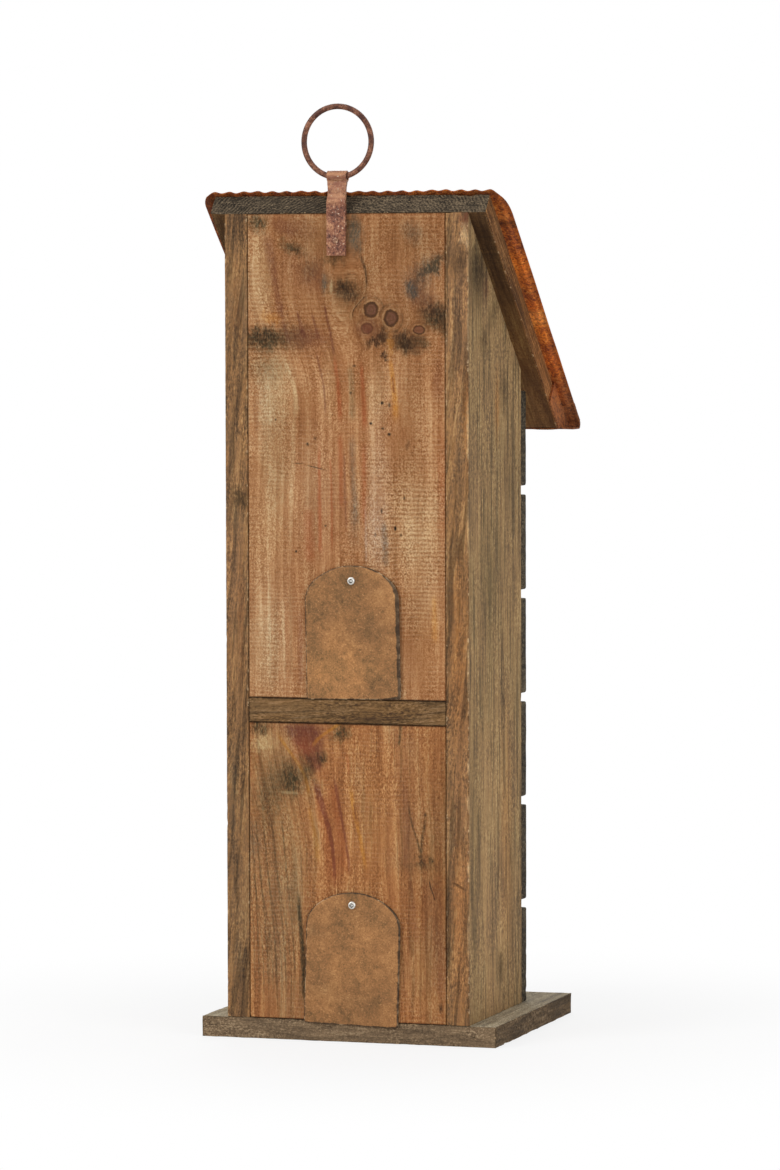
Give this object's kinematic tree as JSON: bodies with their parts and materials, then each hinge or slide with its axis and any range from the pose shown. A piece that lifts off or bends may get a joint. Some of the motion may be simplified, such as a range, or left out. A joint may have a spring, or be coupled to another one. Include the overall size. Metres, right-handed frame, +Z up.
{
  "type": "two-tier birdhouse",
  "caption": "Tall slatted wooden birdhouse with stacked chambers, pivoting arched clean-out doors, a lean-to roof under a rippled metal sheet, and a strap with a hanging ring.",
  "frame": {"origin": "centre of the base board's underside", "axes": "+Z up, -Y towards the slatted front with the entrances, +Y towards the back with the doors and the hanger, +X to the right seen from the front"},
  "size_m": [0.19, 0.1764, 0.5595],
  "materials": {
    "base_wood": "weathered, rough sawn",
    "side_wood": "weathered, stained",
    "floor_wood": "dark stained",
    "back_wood": "stained pine, saw marks",
    "front_wood": "stained pine",
    "slat_wood": "weathered, dark",
    "roof_wood": "weathered, rough sawn",
    "rusted_sheet": "rust",
    "door_metal": "mottled bronze",
    "zinc": "bright zinc",
    "strap_metal": "worn copper paint",
    "ring_metal": "dark copper paint",
    "nail_steel": "dull steel"
  },
  "bodies": {
    "house": {"base_board": "base_wood", "left_side_panel": "side_wood", "right_side_panel": "side_wood", "middle_floor": "floor_wood", "upper_back_panel": "back_wood", "lower_back_panel": "back_wood", "upper_front_panel": "front_wood", "lower_front_panel": "front_wood", "front_slat_1": "slat_wood", "front_slat_2": "slat_wood", "front_slat_3": "slat_wood", "front_slat_4": "slat_wood", "front_slat_5": "slat_wood", "front_slat_6": "slat_wood", "roof_board": "roof_wood", "roof_sheet": "rusted_sheet", "upper_door_screw": "zinc", "lower_door_screw": "zinc", "hanger_strap": "strap_metal", "strap_nail": "strap_metal", "slat_nails": "nail_steel", "roof_nails": "nail_steel", "base_nails": "nail_steel"},
    "upper_door": {"upper_cleanout_door": "door_metal"},
    "lower_door": {"lower_cleanout_door": "door_metal"},
    "ring": {"hanger_ring": "ring_metal"}
  },
  "joints": [
    {"name": "upper_door_pivot", "type": "hinge", "parent": "house", "child": "upper_door", "pos_m": [-0.0035, 0.08275, 0.2764], "axis": [0, 1, 0], "continuous": true},
    {"name": "lower_door_pivot", "type": "hinge", "parent": "house", "child": "lower_door", "pos_m": [-0.0035, 0.08275, 0.0827], "axis": [0, 1, 0], "continuous": true},
    {"name": "ring_pivot", "type": "hinge", "parent": "house", "child": "ring", "pos_m": [0.0052, 0.0805, 0.51635], "axis": [1, 0, 0], "range_deg": [-160, 125]}
  ]
}
